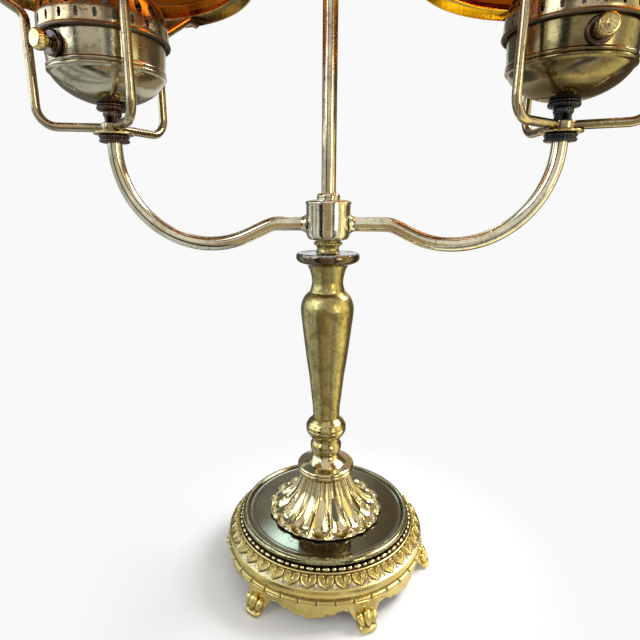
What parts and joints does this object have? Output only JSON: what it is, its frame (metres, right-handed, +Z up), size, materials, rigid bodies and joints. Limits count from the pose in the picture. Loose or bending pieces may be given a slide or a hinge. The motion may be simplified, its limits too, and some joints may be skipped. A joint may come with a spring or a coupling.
{
  "type": "two-light table lamp",
  "caption": "Brass table lamp: footed base, fluted bell, turned column and two swept arms, each with a font, switch, chimney and dome shade on a tripod.",
  "frame": {"origin": "centre of the footprint on the surface the feet stand on", "axes": "+Z up along the column, +X along the right arm, -Y towards the viewer of the picture"},
  "size_m": [0.46, 0.184, 0.541],
  "materials": {
    "gilt_casting": "satin, brown in the hollows of the ornament",
    "polished_brass": "polished, lightly worn",
    "aged_brass": "polished, mottled dark with age",
    "font_brass": "dull, tarnished grey-olive",
    "dark_plate": "dark brown lacquered mirror",
    "dark_disc": "dark bronze-brown satin",
    "blackened_steel": "blackened, copper showing on the threads",
    "amber_glass": "clear deep amber",
    "clear_glass": "clear",
    "bulb_glass": "frosted, over a brass screw base",
    "black_plastic": "moulded black"
  },
  "bodies": {
    "lamp": {"base_casting": "gilt_casting", "bead_ring": "gilt_casting", "base_plate": "dark_plate", "fluted_bell": "polished_brass", "stem_dish": "polished_brass", "stem_knop": "polished_brass", "column": "aged_brass", "cap_disc": "dark_disc", "neck_collar": "polished_brass", "hub": "polished_brass", "hub_nut": "polished_brass", "centre_rod": "polished_brass", "finial": "polished_brass", "base_washer": "blackened_steel", "base_nut": "blackened_steel", "tie_pipe": "blackened_steel", "cord_bushing": "black_plastic", "left_arm": "polished_brass", "left_arm_locknut": "blackened_steel", "left_shade_washer": "polished_brass", "left_shade_tripod": "polished_brass", "left_shade_ring": "aged_brass", "left_nipple": "blackened_steel", "left_font_nut": "blackened_steel", "left_font_cup": "font_brass", "left_gallery": "font_brass", "left_socket": "polished_brass", "left_bulb": "bulb_glass", "left_switch_plate": "blackened_steel", "right_arm": "polished_brass", "right_arm_locknut": "blackened_steel", "right_shade_washer": "polished_brass", "right_shade_tripod": "polished_brass", "right_shade_ring": "aged_brass", "right_nipple": "blackened_steel", "right_font_nut": "blackened_steel", "right_font_cup": "font_brass", "right_gallery": "font_brass", "right_socket": "polished_brass", "right_bulb": "bulb_glass", "right_switch_plate": "blackened_steel"},
    "left_switch_knob_body": {"left_switch_knob": "polished_brass"},
    "left_chimney_body": {"left_chimney": "clear_glass"},
    "left_shade_body": {"left_shade": "amber_glass"},
    "right_switch_knob_body": {"right_switch_knob": "polished_brass"},
    "right_chimney_body": {"right_chimney": "clear_glass"},
    "right_shade_body": {"right_shade": "amber_glass"}
  },
  "joints": [
    {"name": "left_switch_turn", "type": "hinge", "parent": "lamp", "child": "left_switch_knob_body", "pos_m": [-0.15533, -0.03716, 0.34526], "axis": [-0.4226, -0.9063, 0], "continuous": true},
    {"name": "left_chimney_lift", "type": "slide", "parent": "lamp", "child": "left_chimney_body", "axis": [0, 0, 1], "range_m": [0, 0.14]},
    {"name": "left_shade_lift", "type": "slide", "parent": "lamp", "child": "left_shade_body", "axis": [0, 0, 1], "range_m": [0, 0.16]},
    {"name": "right_switch_turn", "type": "hinge", "parent": "lamp", "child": "right_switch_knob_body", "pos_m": [0.138, -0.041, 0.34526], "axis": [0, -1, 0], "continuous": true},
    {"name": "right_chimney_lift", "type": "slide", "parent": "lamp", "child": "right_chimney_body", "axis": [0, 0, 1], "range_m": [0, 0.14]},
    {"name": "right_shade_lift", "type": "slide", "parent": "lamp", "child": "right_shade_body", "axis": [0, 0, 1], "range_m": [0, 0.16]}
  ]
}
